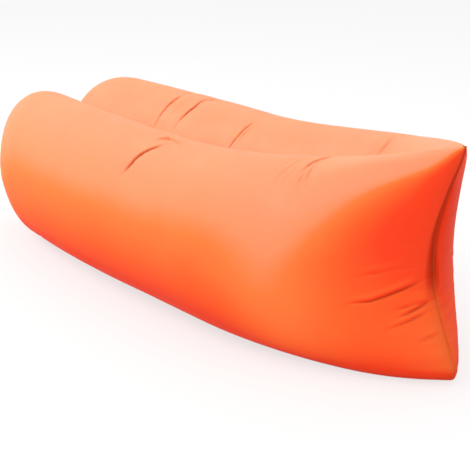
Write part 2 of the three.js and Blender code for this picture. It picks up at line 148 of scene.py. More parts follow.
def head_lip(x, turn, y, forward):
    """How far the cloth beside the head seam's upper part swells forward over it, which leaves
    the seam in a groove: full from 14 mm off the seam's plane, dying away along the chamber."""
    swell = band(np.sin(turn), *LIP_HEIGHTS) * smooth(y, *LIP_OFF_SEAM)
    return forward * swell * np.exp(-(((HEAD_X - x) / LIP_REACH) ** LIP_POWER))


def crowded(start, finish, count, crowds):
    """Places from start to finish, closer together round each crowd: (place, width, how much).
    They are read back from the running sum of the wanted density."""
    fine = np.linspace(start, finish, 4000)
    density = np.ones_like(fine)
    for place, width, extra in crowds:
        density += extra * np.exp(-(((fine - place) / width) ** 2))
    total = np.concatenate([[0], np.cumsum((density[1:] + density[:-1]) / 2)])
    return np.interp(np.linspace(0, total[-1], count), total, fine)


def chamber_stations(cap_rows, body_rows, crowds):
    """Places along the chamber: close together at the lobe's tip, the folds and the head seam."""
    cap_turn = np.linspace(0, math.pi / 2, cap_rows + 1)[1:]
    cap = LOBE_TIP_X + LOBE_CAP_LENGTH * (1 - np.cos(cap_turn))
    body = crowded(cap[-1], HEAD_X, body_rows + 1, crowds)[1:]
    return np.concatenate([cap, body])


def grid_normals(points):
    """Unit normals of a grid that closes on itself round its columns, from central differences."""
    along = np.gradient(points, axis=0)
    round_ = np.roll(points, -1, axis=1) - np.roll(points, 1, axis=1)
    normals = np.cross(round_, along)
    return normals / np.maximum(np.linalg.norm(normals, axis=-1, keepdims=True), 1e-9)


SECTION_RADIUS = 0.235
DIP_SHARE, DIP_WIDTHS, RIDGE_PLACE, RIDGE_WIDTHS, TUCK_END_POWER = 0.35, 8, 3, 2, 0.7


def tuck(x, turn, path, depth, width, lip):
    """How far one tuck moves the cloth out, along a path of (x, turn in degrees). Across the
    path: a sharp groove of -depth * exp(-(d / width)^2), a dip round it a third as deep and eight
    times as wide, and on one side a ridge of lip * depth * exp(-((d - 3 width) / (2 width))^2).
    It fades to nothing at both ends."""
    places = np.array([(px, math.radians(pt) * SECTION_RADIUS) for px, pt in path])
    here = np.stack([x, turn * SECTION_RADIUS], -1)
    nearest = np.full(x.shape, 1e9)
    side = np.zeros_like(x)
    along = np.zeros_like(x)
    lengths = np.linalg.norm(np.diff(places, axis=0), axis=1)
    done = 0.0
    for start, finish, length in zip(places[:-1], places[1:], lengths):
        step = (finish - start) / length
        offset = here - start
        run = np.clip(offset @ step, 0, length)
        across = offset - run[..., None] * step
        distance = np.linalg.norm(across, axis=-1)
        closer = distance < nearest
        nearest = np.where(closer, distance, nearest)
        handed = np.sign(step[0] * across[..., 1] - step[1] * across[..., 0])
        side = np.where(closer, handed, side)
        along = np.where(closer, (done + run) / lengths.sum(), along)
        done += length
    fade = np.sin(np.pi * np.clip(along * 0.9 + 0.05, 0, 1)) ** TUCK_END_POWER
    off_ridge = nearest * side - RIDGE_PLACE * width
    groove = np.exp(-((nearest / width) ** 2))
    dip = DIP_SHARE * np.exp(-((nearest / (DIP_WIDTHS * width)) ** 2))
    ridge = lip * np.exp(-((off_ridge / (RIDGE_WIDTHS * width)) ** 2))
    return depth * fade * (-groove - dip + ridge)


# Tucks of each cover: path of (x, turn), depth, width and ridge height. The turn is 0 on the
# outer side, 90 on top and 180 where the chambers touch.
FAR_TUCKS = (
    (((-0.383, 99), (-0.381, 107), (-0.376, 123), (-0.368, 142)), 0.006, 0.0016, 0.9),
    (((-0.279, 88), (-0.280, 96), (-0.270, 109), (-0.277, 127)), 0.0065, 0.0016, -0.9),
    (((-0.277, 124), (-0.281, 136), (-0.285, 146)), 0.003, 0.003, -0.6),
    (((-0.262, 86), (-0.264, 94)), 0.004, 0.0015, 0.6),
    (((-0.330, 100), (-0.322, 118), (-0.318, 140)), 0.0025, 0.006, 0.5),
    (((0.010, 107), (0.006, 118), (0.004, 130), (0.000, 144)), 0.006, 0.0015, 0.9),
    (((0.026, 112), (0.024, 120), (0.022, 130)), 0.0035, 0.0015, 0.6),
    (((0.040, 96), (0.052, 92), (0.069, 90)), 0.0035, 0.0016, 0.6),
    (((0.590, 96), (0.600, 108), (0.610, 124)), 0.003, 0.004, 0.7),
    (((0.850, -9), (0.910, -7), (0.975, -5)), 0.0022, 0.003, 0.7),
    (((0.860, -17), (0.915, -18), (0.963, -18.6), (0.979, -19)), 0.0026, 0.003, 0.7),
    (((0.880, -24), (0.930, -25), (0.979, -25)), 0.0024, 0.003, 0.7),
    (((0.890, -30), (0.935, -31), (0.979, -32)), 0.002, 0.003, 0.7),
    (((0.600, 20), (0.640, 34), (0.640, 48)), 0.003, 0.010, 0.5),
)
NEAR_TUCKS = (
    (((-0.008, 41), (-0.003, 49), (0.001, 58), (0.018, 67), (0.044, 77)), 0.0065, 0.0016, -0.9),
    (((-0.012, 80), (-0.004, 84), (0.024, 87), (0.060, 86), (0.095, 82)), 0.006, 0.0016, 1.1),
    (((-0.100, 78), (-0.060, 84), (-0.030, 86)), 0.002, 0.005, 0.6),
    (((0.630, 64), (0.628, 70), (0.632, 77), (0.648, 84), (0.664, 89)), 0.0065, 0.0016, 0.8),
    (((0.660, 54), (0.657, 60), (0.652, 67), (0.652, 75)), 0.0048, 0.0015, -0.6),
    (((0.644, 52), (0.642, 58), (0.641, 64)), 0.003, 0.0015, 0.6),
    (((0.572, 42), (0.576, 52), (0.577, 64), (0.584, 76), (0.590, 90)), 0.002, 0.004, 0.7),
    (((0.600, 48), (0.602, 60), (0.604, 74)), 0.0018, 0.004, 0.6),
    (((0.545, 62), (0.555, 76), (0.560, 90)), 0.0015, 0.005, 0.5),
    (
        ((0.655, 46), (0.695, 32), (0.718, 20), (0.728, 5), (0.722, -15), (0.70, -35)),
        -0.0032, 0.026, 0,
    ),
    (((0.849, -3.8), (0.887, -2.6), (0.941, -1.8), (0.979, -1)), 0.0026, 0.0026, 0.8),
    (
        ((0.835, -17), (0.881, -16.4), (0.912, -14.5), (0.945, -12), (0.979, -8.6)),
        0.005, 0.003, 0.8,
    ),
    (((0.915, 8.6), (0.949, 10.6), (0.976, 12.2)), 0.002, 0.0026, 0.7),
    (((0.925, -22), (0.954, -20.6), (0.974, -19.6)), 0.0026, 0.0026, 0.8),
    (((0.925, -26.5), (0.962, -22.2), (0.979, -19.4)), 0.0032, 0.0026, 0.8),
    (((0.900, -32), (0.942, -28.2), (0.976, -24.6)), 0.003, 0.0026, 0.8),
    (((0.945, -40.5), (0.969, -37.8), (0.979, -36.6)), 0.0026, 0.0026, 0.8),
    (((-0.170, 100), (-0.165, 118), (-0.160, 140)), 0.004, 0.003, 0.6),
)
# Where the covers' rows crowd, by x, and their columns, by turn in radians: place, width, and how
# much closer they stand.
FOLD_CROWDS = (
    (-0.38, 0.012, 4),
    (-0.272, 0.018, 4),
    (0.01, 0.024, 4),
    (0.58, 0.03, 1.5),
    (0.645, 0.024, 4),
    (0.94, 0.06, 1.5),
    (0.979, 0.006, 9),
)
TURN_CROWDS = (
    (-0.35, 0.28, 2.6),
    (math.pi + 0.35, 0.28, 2.6),
    (math.pi / 2, 0.9, 0.3),
    (math.pi / 2, 0.14, 2.5),
)


def new_piece(name, vertices, faces):
    """A smooth-shaded object with a mesh of these vertices and faces."""
    mesh = bpy.data.meshes.new(name)
    mesh.from_pydata(vertices, [], faces)
    mesh.validate()
    mesh.shade_smooth()
    piece = bpy.data.objects.new(name, mesh)
    scene.collection.objects.link(piece)
    return piece


def grid_mesh(name, points, start="pole", end="strip"):
    """A mesh from a grid of points (rows, columns, 3) that closes on itself round its columns.
    An end is closed by a pole at the mean of its row, by a strip between its two halves, which
    mirror each other in the columns' order, or left open."""
    rows, columns = points.shape[:2]
    index = np.arange(rows * columns).reshape(rows, columns)
    a, b = index[:-1], index[1:]
    quads = np.stack([a, np.roll(a, -1, 1), np.roll(b, -1, 1), b], -1).reshape(-1, 4)
    vertices = points.reshape(-1, 3)
    faces = quads.tolist()
    for row, closing in ((0, start), (rows - 1, end)):
        here, after = index[row], np.roll(index[row], -1)
        if closing == "pole":
            pole = np.full(columns, len(vertices))
            vertices = np.vstack([vertices, points[row].mean(axis=0)])
            faces += np.stack([pole, here, after][:: 1 if row else -1], -1).tolist()
        elif closing == "strip":
            one, other = here[: columns // 2 - 1], here[::-1][: columns // 2 - 1]
            ends = np.stack([one, one + 1, other - 1, other], -1)
            faces += (ends if row else ends[:, ::-1]).tolist()
    return new_piece(name, vertices.tolist(), faces)


turn_edges = crowded(-math.pi / 2, 3 * math.pi / 2, ROUND_COLUMNS + 1, TURN_CROWDS)
turns = (turn_edges[1:] + turn_edges[:-1]) / 2
stations = chamber_stations(CAP_ROWS, BODY_ROWS, FOLD_CROWDS)
grid_x, grid_turn = np.meshgrid(stations, turns, indexing="ij")
plain_points = np.stack(chamber_surface(grid_x, grid_turn), -1)


GATHER_WAVES, GATHER_LEAN, GATHER_HEIGHT = (23, 31, 44, 57), 14, 0.0018
GATHER_REACH, GATHER_START, GATHER_HEIGHTS = 0.05, 0.01, (0.1, 0.6)
SWELL_WAVES, SWELL_PITCHES, SWELL_HEIGHT, SWELL_START = (2, 3, 5), (3, 9), 0.0012, 0.12


def pucker(seed, x, turn):
    """Short gathers that run out from the head seam: waves round the section, of uneven pitch,
    that die away within a few centimetres, and a slow swell all over the cloth."""
    draw = np.random.default_rng(seed)
    from_head = HEAD_X - x
    fade = np.exp(-from_head / GATHER_REACH) * np.clip(from_head / GATHER_START, 0, 1)
    gathers, swell = np.zeros_like(x), np.zeros_like(x)
    for waves in GATHER_WAVES:
        shift, lean = draw.uniform(0, 2 * math.pi), draw.uniform(-GATHER_LEAN, GATHER_LEAN)
        gathers += np.sin(waves * turn + lean * x + shift) / len(GATHER_WAVES)
    for waves in SWELL_WAVES:
        shift, pitch = draw.uniform(0, 2 * math.pi), draw.uniform(*SWELL_PITCHES)
        swell += np.sin(waves * turn + pitch * x + shift) / len(SWELL_WAVES)
    low_side = 1 - smooth(np.sin(turn), *GATHER_HEIGHTS)
    off_tip = smooth(x, LOBE_TIP_X, LOBE_TIP_X + SWELL_START)
    return GATHER_HEIGHT * fade * low_side * gathers + SWELL_HEIGHT * swell * off_tip


RING_CLEARANCE, HOLLOW_START, HOLLOW_END = 0.0012, 0.003, 0.07
PLEAT_COUNT, PLEAT_HEIGHT, PLEAT_PLACE, PLEAT_REACH = 34, 0.0022, 0.018, 0.016
PLEAT_DRIFT, DRIFT_COUNT = 2.2, 5


def ring_hollow(points):
    """How far out the rolled mouth's ring pushes a lobe's inner side: its half width inside the
    ring's edge, eased to nothing outside it, with pleats of uneven pitch round the edge."""
    along, up = points[..., 0] - RING_X, points[..., 2] - RING_Z
    angle = np.arctan2(up, along)
    away = np.hypot(along, up) - RING_RADIUS - ROLL_HALF_THICKNESS
    waves = np.sin(PLEAT_COUNT * angle + PLEAT_DRIFT * np.sin(DRIFT_COUNT * angle))
    pleats = PLEAT_HEIGHT * waves * np.exp(-(((away - PLEAT_PLACE) / PLEAT_REACH) ** 2))
    hollow = (ROLL_HALF_WIDTH + RING_CLEARANCE) * (1 - smooth(away, HOLLOW_START, HOLLOW_END))
    return hollow + pleats


def moving_mean(values, axis, reach):
    """The mean over a window: rows (axis 0) stop at the ends, columns (axis 1) go round."""
    total = 0
    for shift in range(-reach, reach + 1):
        if axis:
            total = total + np.roll(values, shift, axis)
        else:
            total = total + values[np.clip(np.arange(len(values)) + shift, 0, len(values) - 1)]
    return total / (2 * reach + 1)


def gathered(points, free):
    """How far a short cloth simulation moves each point. Every second row and column of the
    cover is blown up from inside for CLOTH_FRAMES, held where it touches something, with cloth
    to spare beside the head seam. Its broad swelling, the mean over a window, is taken out, so
    that only the gathers stay, and none is higher than CLOTH_CAP."""
    rows = np.unique(np.append(np.arange(0, len(points), 2), len(points) - 1))
    coarse = points[rows][:, ::2]
    held_still = 1 - free[rows][:, ::2]
    held_still[[0, -1]] = 1
    spare = np.exp(-(((HEAD_X - grid_x[rows][:, ::2]) / SPARE_REACH) ** 2))
    piece = grid_mesh("cloth_trial", coarse, end="open")
    for name, weights in (("held", held_still), ("spare", spare)):
        group = piece.vertex_groups.new(name=name)
        for step in range(WEIGHT_STEPS + 1):
            near_step = np.flatnonzero(np.round(weights.ravel() * WEIGHT_STEPS) == step)
            group.add(near_step.tolist(), step / WEIGHT_STEPS, "REPLACE")
    cloth = piece.modifiers.new("cloth", "CLOTH")
    settings = cloth.settings
    settings.quality = CLOTH_QUALITY
    settings.use_pressure, settings.uniform_pressure_force = True, CLOTH_PRESSURE
    settings.vertex_group_mass = "held"
    settings.vertex_group_shrink, settings.shrink_max = "spare", -SPARE_CLOTH
    settings.bending_stiffness = CLOTH_BENDING
    settings.effector_weights.gravity = 0
    cloth.collision_settings.use_collision = False
    for moment in range(1, CLOTH_FRAMES + 1):
        scene.frame_set(moment)
    worked = piece.evaluated_get(bpy.context.evaluated_depsgraph_get())
    flat = np.empty(len(worked.data.vertices) * 3, np.float32)
    worked.data.vertices.foreach_get("co", flat)
    there = flat.reshape(-1, 3)[: held_still.size].reshape(*held_still.shape, 3).astype(float)
    moved = ((there - coarse) * grid_normals(coarse)).sum(axis=-1)
    bpy.data.objects.remove(piece)
    scene.frame_set(1)
    broad = moving_mean(moving_mean(moved, 0, BROAD_ROWS), 1, BROAD_COLUMNS)
    fine = np.clip(moved - broad, -CLOTH_CAP, CLOTH_CAP)
    fine = np.stack([np.interp(np.arange(len(points)), rows, column) for column in fine.T], -1)
    between = (fine + np.roll(fine, -1, 1)) / 2
    return np.stack([fine, between], -1).reshape(len(points), -1)


def folded(seed, tucks, forward):
    """The blown-up cover with its tucks and gathers, and how deep each point lies in a fold."""
    out = pucker(seed, grid_x, grid_turn)
    for path, depth, width, lip in tucks:
        out = out + tuck(grid_x, grid_turn, path, depth, width, lip)
    free = np.clip((plain_points[..., 1] - HALF_CONTACT_GAP) / FREE_REACH, 0, 1)
    free = free * np.clip(plain_points[..., 2] / FREE_REACH, 0, 1)
    points = plain_points.copy()
    points[..., 0] += head_lip(grid_x, grid_turn, plain_points[..., 1], forward)
    points += grid_normals(points) * (out * free)[..., None]
    points += grid_normals(points) * (gathered(points, free) * free)[..., None]
    clear = np.maximum(HALF_CONTACT_GAP, ring_hollow(points))
    points[..., 1] = clear + np.maximum(points[..., 1] - clear, 0)
    points[..., 2] = np.maximum(points[..., 2], 0)
    return points, out * free


MIRROR = np.array([1, -1, 1])
far_points, far_out = folded(3, FAR_TUCKS, FAR_LIP)
near_points, near_out = folded(8, NEAR_TUCKS, NEAR_LIP)
near_points = near_points * MIRROR
far_cover = grid_mesh("far_cover", far_points)
near_cover = grid_mesh("near_cover", near_points[:, ::-1])


class Wire:
    """A shader socket that can be used in plain sums, so a pattern reads as its formula."""

    def __init__(self, tree, socket):
        self.tree, self.socket = tree, socket

    def node(self, kind, settings=None, output=0, **inputs):
        """Adds any node: settings first, then its inputs by name, as values or as wires."""
        made = self.tree.nodes.new(kind)
        for key, value in (settings or {}).items():
            if key == "stops":
                elements = made.color_ramp.elements
                for _ in value[2:]:
                    elements.new(0.5)
                for element, (place, colour) in zip(elements, value):
                    element.position, element.color = place, colour
            else:
                setattr(made, key, value)
        for key, value in inputs.items():
            numbered = key[0] == "i" and key[1:].isdigit()
            place = made.inputs[int(key[1:]) if numbered else key.replace("_", " ")]
            if isinstance(value, Wire):
                self.tree.links.new(value.socket, place)
            else:
                place.default_value = value
        return Wire(self.tree, made.outputs[output])

    def other(self, output):
        """Another output of the same node."""
        return Wire(self.tree, self.socket.node.outputs[output])

    def link(self, wire, shader, name):
        """Feeds a wire into a shader's input."""
        self.tree.links.new(wire.socket, shader.inputs[name])

    def attribute(self, name, output=2):
        """What store kept under a name: a number, or with output 1 a vector."""
        return self.node("ShaderNodeAttribute", {"attribute_name": name}, output)

    def noise(self, place, scale, detail, roughness=0.5):
        """Soft noise from 0 to 1, at so many waves a metre."""
        values = {"Vector": place, "Scale": scale, "Detail": detail, "Roughness": roughness}
        return self.node("ShaderNodeTexNoise", **values)

    def ramp(self, stops, share):
        """A colour ramp: (place, colour) stops, read at a share."""
        return self.node("ShaderNodeValToRGB", {"stops": stops}, Fac=share)

    def relief(self, height, strength, distance):
        """The normal of a surface with a fine relief."""
        values = {"Strength": strength, "Distance": distance, "Height": height}
        return self.node("ShaderNodeBump", **values)

    def math(self, operation, *values):
        """One Math node: what it does, and its values or wires in order."""
        slots = {f"i{number}": value for number, value in enumerate(values)}
        return self.node("ShaderNodeMath", {"operation": operation}, **slots)

    def __add__(self, other):
        return self.math("ADD", self, other)

    __radd__ = __add__

    def __sub__(self, other):
        return self.math("SUBTRACT", self, other)

    def __rsub__(self, other):
        return self.math("SUBTRACT", other, self)

    def __mul__(self, other):
        return self.math("MULTIPLY", self, other)

    __rmul__ = __mul__


def new_material(name, colour=None, roughness=None):
    """A material with a Principled shader, plain or still to be filled, and the shader's node."""
    material = bpy.data.materials.new(name)
    material.use_nodes = True
    shader = material.node_tree.nodes["Principled BSDF"]
    if colour:
        shader.inputs["Base Color"].default_value = colour
        shader.inputs["Roughness"].default_value = roughness
    return material, shader


def store(piece, name, values):
    """Keeps one number or one vector for each vertex of a piece, for its material to read. A
    pole's vertex, which has no place in the grid, gets the first row's mean."""
    wide = values.ndim == 3
    attribute = piece.data.attributes.new(name, "FLOAT_VECTOR" if wide else "FLOAT", "POINT")
    rows = values.reshape(-1, values.shape[-1] if wide else 1)
    extra = len(piece.data.vertices) - len(rows)
    pole = rows[: values.shape[1]].mean(axis=0, keepdims=True)
    rows = np.concatenate([rows, np.repeat(pole, extra, axis=0)])
    attribute.data.foreach_set("vector" if wide else "value", rows.astype(np.float32).ravel())


# Painted light on the cloth's colour: palest where it faces up towards the light, deep orange
# where it turns away, and painted shade, deeper still, in a tuck and in the groove of the head
# seam.
PAINTED_LIGHT_WAY = np.array([-0.45, -0.2, 0.87])
PAINTED_LIGHT_TONES = (
    (0.12, (0.84, 0.048, 0.014, 1)),
    (0.36, (0.89, 0.06, 0.017, 1)),
    (0.52, (0.98, 0.136, 0.03, 1)),
    (0.68, (0.99, 0.216, 0.055, 1)),
    (0.77, (0.99, 0.298, 0.135, 1)),
    (0.93, (0.99, 0.328, 0.175, 1)),
    (1.0, (0.99, 0.44, 0.265, 1)),
)
FOLD_SHADE, THREAD_SHADE = (0.6, 0.38, 0.28, 1), (0.96, 0.78, 0.7, 1)
RIPSTOP_HALF_PITCH, RIPSTOP_THREAD, WEAVE_PITCH = 0.0025, 0.0004, 0.0009
MOTTLE_WAVES, MOTTLE_TONE, CRINKLE_WAVES = 9.0, 0.05, 55.0
NYLON_RELIEF, NYLON_RELIEF_DEPTH, SEEN_THROUGH = 0.5, 0.0008, 0.35
cover_nylon, cover_shader = new_material("cover_nylon")
nylon = Wire(cover_nylon.node_tree, None)
sky_share, in_fold = nylon.attribute("sky_share"), nylon.attribute("in_fold")
place = nylon.node("ShaderNodeTexCoord", None, 3)
mottle = nylon.noise(place, MOTTLE_WAVES, 4.0, 0.55)
crinkle = nylon.noise(place, CRINKLE_WAVES, 3.0)
# Painted light: the ramp is read from how far the cloth faces the light, pale on top, deep orange
# turned away.
painted_tone = nylon.ramp(PAINTED_LIGHT_TONES, sky_share + (mottle - 0.5) * MOTTLE_TONE)
multiply = {"data_type": "RGBA", "blend_type": "MULTIPLY"}
# Painted shade: the tone is darkened in the tucks, the head seam's groove and the far side's half
# shade.
deep = nylon.node("ShaderNodeMix", multiply, 2, Factor=in_fold, i6=painted_tone, i7=FOLD_SHADE)
nylon.link(0.4 + mottle * 0.16, cover_shader, "Roughness")
split = nylon.node("ShaderNodeSeparateXYZ", Vector=nylon.attribute("cloth", 1))
across, along = split, split.other(1)
threads = []
for wire in (across, along):
    off_thread = wire.math("PINGPONG", wire, RIPSTOP_HALF_PITCH)
    threads.append(off_thread.math("MAXIMUM", 1 - off_thread * (1 / RIPSTOP_THREAD), 0.0))
ripstop = threads[0].math("MAXIMUM", threads[0], threads[1])
turns_per_metre = 2 * math.pi / WEAVE_PITCH
warp, weft = (wire.math("SINE", wire * turns_per_metre) for wire in (across, along))
weave = warp * weft
thread_share = ripstop * 0.55 + (0.5 - weave * 0.5) * 0.3
woven = nylon.node("ShaderNodeMix", multiply, 2, Factor=thread_share, i6=deep, i7=THREAD_SHADE)
nylon.link(woven, cover_shader, "Base Color")
height = ripstop * 0.6 + weave * 0.2 + crinkle * 1.6
relief = nylon.relief(height, NYLON_RELIEF, NYLON_RELIEF_DEPTH)
nylon.link(relief, cover_shader, "Normal")
cover_shader.inputs["Specular IOR Level"].default_value = 0.02
cover_shader.inputs["Subsurface Weight"].default_value = SEEN_THROUGH
cover_shader.inputs["Subsurface Radius"].default_value = (1.0, 0.08, 0.03)
cover_shader.inputs["Subsurface Scale"].default_value = 0.15


GROOVE_LOW, GROOVE_FULL, GROOVE_CLOSING = 0.19, 0.29, 0.07
GROOVE_WIDEST, GROOVE_NARROWEST, FAR_GROOVE_SHARE = 0.027, 0.004, 0.55
GROOVE_X, GROOVE_EDGE_POWER = (0.84, 0.87), 6
AWAY_SHADE, AWAY_HIGH_SHADE, AWAY_HEIGHTS = 0.12, 0.26, (0.1, 0.35)
AWAY_TURNS, AWAY_X = (0.6, 1.1), (0.76, 0.9)


def groove_shade(points, near):
    """How much painted shade the seam's groove gets: 1 in it, 0 past its edge, which lies further
    out on the near side and closes in towards the top. It fades towards the floor, and the far
    side, which turns away from the light, gets painted half shade past it."""
    place, height = points[..., 0], points[..., 2]
    width = GROOVE_WIDEST - GROOVE_CLOSING * (height - GROOVE_FULL)
    width = np.clip(width, GROOVE_NARROWEST, GROOVE_WIDEST) * (1.0 if near else FAR_GROOVE_SHARE)
    in_groove = np.exp(-((points[..., 1] / width) ** GROOVE_EDGE_POWER))
    in_groove = in_groove * smooth(height, GROOVE_LOW, GROOVE_FULL) * smooth(place, *GROOVE_X)
    if near:
        return in_groove
    turned_away = AWAY_SHADE + AWAY_HIGH_SHADE * smooth(height, *AWAY_HEIGHTS)
    turned_away = turned_away * (1 - smooth(grid_turn, *AWAY_TURNS)) * smooth(place, *AWAY_X)
    return np.maximum(in_groove, turned_away)


SIDE_FOLD_X, SIDE_FOLD_REACH, SIDE_FOLD_TURNS = 0.63, 0.17, (-95, -45, 40, 75)
SHOULDER_TURN, SHOULDER_X, SHOULDER_CLIMB = 47, 0.64, 78
SHOULDER_SHINES = ((0.4, -20, 4), (0.2, -58, 0))
NEAR_HEAD_X, UPPER_TURNS, VALLEY_TURNS = (0.56, 0.76, 0.92, 0.985), (165, 215), (95, 128)
SIDE_SHINE, VALLEY_SHINE, OFF_TIP = 0.22, 0.5, (0.02, 0.3)
PALE_VALLEY, PALE_VALLEY_TURNS = 0.5, (108, 138)
PALE_HEAD, PALE_HEAD_RISE, PALE_HEAD_X = 0.55, 25, (0.84, 0.94)


def painted_shine(x, turn):
    """Where painted highlights make the cloth paler: on both sides of the soft fold down the
    side, above a shoulder that climbs towards the head, and in the valley between the chambers."""
    degrees = np.degrees(turn)
    side = np.exp(-(((x - SIDE_FOLD_X) / SIDE_FOLD_REACH) ** 2)) * band(degrees, *SIDE_FOLD_TURNS)
    shoulder = SHOULDER_TURN + SHOULDER_CLIMB * (x - SHOULDER_X)
    near_head = band(x, *NEAR_HEAD_X)
    above = sum(
        share * smooth(degrees, shoulder + low, shoulder + high)
        for share, low, high in SHOULDER_SHINES
    )
    over_head = smooth(degrees, shoulder, shoulder + PALE_HEAD_RISE) * near_head
    over_head = over_head * (1 - smooth(x, *PALE_HEAD_X))
    upper = (1 - smooth(degrees, *UPPER_TURNS)) * smooth(x - LOBE_TIP_X, *OFF_TIP)
    valley = smooth(degrees, *VALLEY_TURNS) * upper
    pale_valley = PALE_VALLEY * smooth(degrees, *PALE_VALLEY_TURNS) * upper
    shine = SIDE_SHINE * side + np.maximum(above * near_head, VALLEY_SHINE * valley)
    return shine, np.maximum(pale_valley, PALE_HEAD * over_head)


PALE_LIMIT, DARK_FROM, DARK_OVER = 0.93, 0.0028, 0.0022
FOLDED_SHARE, TIP_ROWS = 0.4, 2
for cover, node, points, out, side in (
    (far_cover, "far_chamber_cover", far_points, far_out, 1),
    (near_cover, "near_chamber_cover", near_points * MIRROR, near_out, -1),
):
    # Painted light: the tone follows how far each face turns towards the light, plus painted
    # highlights.
    ways = FOLDED_SHARE * grid_normals(points) + (1 - FOLDED_SHARE) * grid_normals(plain_points)
    at_tip = np.exp(-((np.arange(len(ways)) / TIP_ROWS) ** 2))[:, None, None]
    ways = ways * (1 - at_tip) + np.array([-1, 0, 0]) * at_tip
    painted_light = 0.5 + 0.5 * (ways * np.array([1, side, 1])) @ PAINTED_LIGHT_WAY
    shine, palest = painted_shine(grid_x, grid_turn)
    painted_light = np.minimum(painted_light + shine, PALE_LIMIT) + (1 - PALE_LIMIT) * palest
    # Painted shade in the tucks' grooves and in the head seam's groove.
    folds = np.clip((-out - DARK_FROM) / DARK_OVER, 0, 1)
    folds = np.maximum(folds, groove_shade(points, side < 0))
    cloth_places = np.stack([grid_turn * SECTION_RADIUS, grid_x, 0 * grid_x], -1)
    for name, values in (("sky_share", painted_light), ("in_fold", folds), ("cloth", cloth_places)):
        store(cover, name, values[:, ::side])
    cover.data.materials.append(cover_nylon)
    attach(cover, "lounger")
    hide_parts(node)


# Air bladders: a tube of thin clear film inside each cover, a little smaller than it. They are
# sealed inside and only keep the air in.
BLADDER_INSET, BLADDER_END = 0.016, 0.06
bladder_film, _ = new_material("bladder_film", (0.75, 0.8, 0.84, 1), 0.3)
for name, points, node in (
    ("far_bladder", far_points, "far_air_bladder"),
    ("near_bladder", near_points * MIRROR, "near_air_bladder"),
):
    short = stations < HEAD_X - BLADDER_END
    coarse = points[short][4::4, 2::5]
    inner = coarse - grid_normals(coarse) * BLADDER_INSET
    seam = (inner[-1:] + inner[-1:, ::-1]) / 2 + np.array([BLADDER_INSET, 0, 0])
    inner = np.concatenate([inner, seam])
    inner[..., 1] = np.maximum(inner[..., 1], BLADDER_INSET / 2)
    if node.startswith("near"):
        inner = (inner * MIRROR)[:, ::-1]
    bladder = grid_mesh(name, inner)
    weld = bmesh.new()
    weld.from_mesh(bladder.data)
    bmesh.ops.remove_doubles(weld, verts=weld.verts, dist=1e-6)
    weld.to_mesh(bladder.data)
    weld.free()
    bladder.data.materials.append(bladder_film)
    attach(bladder, "lounger")
    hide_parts(node)


# Centre seam tape: a strip of woven tape, sewn in where the two sleeves are joined along their
# middle, so that the seam can't tear out. Two rows of stitches run down it.
SEAM_START, SEAM_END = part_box("centre_seam_strip")
SEAM_TAPE_WIDTH, SEAM_TAPE_HALF = 0.012, 0.00038
TAPE_RED, TAPE_DARK = (0.8, 0.07, 0.016, 1), (0.62, 0.045, 0.01, 1)
TAPE_RIB_PITCH, TAPE_ROWS, TAPE_SWAY, TAPE_SWAY_WAVES = 0.0012, 306, 0.00004, 90
TAPE_RELIEF, TAPE_RELIEF_DEPTH, ZIGZAG = 0.7, 0.0004, 900
SEAM_STITCH_PITCH, SEAM_STITCH_ROW = 0.006, 0.0034
SEAM_STITCH_LENGTH, SEAM_STITCH_HALF = 0.0042, 0.00026
X_WAY, Y_WAY, Z_WAY = np.eye(3)


def swept_grid(outline, origins, across, sideways):
    """Points of a closed outline of (across, sideways) pairs, carried along places: each row is
    origin + across * first + sideways * second. A direction is one vector or one for each row."""
    across, sideways = (np.broadcast_to(way, origins.shape) for way in (across, sideways))
    first = across[:, None] * outline[None, :, :1]
    second = sideways[:, None] * outline[None, :, 1:]
    return origins[:, None] + first + second


def lengths_along(points):
    """The running length of a line of points."""
    return np.concatenate([[0], np.cumsum(np.linalg.norm(np.diff(points, axis=0), axis=1))])


def store_measure(piece, run, side):
    """Keeps how far along and across its cloth each point lies, for the weave to follow."""
    measure = np.broadcast_arrays(run[:, None], side[None, :], 0.0)
    store(piece, "cloth", np.stack(measure, -1))


def flat_outline(half_thickness, half_width, steps):
    """A flat bar's section with round edges, the points mirrored in its middle plane."""
    bend = np.linspace(0, math.pi / 2, 5)
    run = np.linspace(-1, 1, steps)[1:-1] * (half_width - half_thickness)
    rise = half_thickness * np.sin(bend)
    reach = half_width - half_thickness + half_thickness * np.cos(bend)
    widths = np.concatenate([-reach, run, reach[::-1]])
    heights = np.concatenate([rise, np.full(len(run), half_thickness), rise[::-1]])
    there = np.stack([heights, widths], -1)
    return np.concatenate([there, there[::-1] * np.array([-1, 1])])


def ribbed_tape(name, base, dark, pitch, ribs_across):
    """Woven tape: ribs at a pitch, from the piece's own lengthwise and crosswise measure."""
    material, shader = new_material(name, base, 0.75)
    weave = Wire(material.node_tree, None)
    measure = weave.attribute("cloth", 1)
    run = weave.node("ShaderNodeSeparateXYZ", Vector=measure)
    zigzag = weave.math("PINGPONG", run.other(1), ribs_across) * ZIGZAG
    rib = weave.math("SINE", run * (2 * math.pi / pitch) + zigzag)
    shade = weave.noise(measure, 400.0, 2.0)
    lit = rib * 0.3 + shade * 0.7
    mixed = weave.node("ShaderNodeMix", {"data_type": "RGBA"}, 2, Factor=lit, i6=dark, i7=base)
    weave.link(mixed, shader, "Base Color")
    weave.link(weave.relief(rib + shade, TAPE_RELIEF, TAPE_RELIEF_DEPTH), shader, "Normal")
    shader.inputs["Specular IOR Level"].default_value = 0.3
    return material


STITCH_SIDES, STITCH_STEPS, STITCH_FATNESS = 6, (-0.5, -0.3, 0.3, 0.5), (0.35, 1.0, 1.0, 0.35)


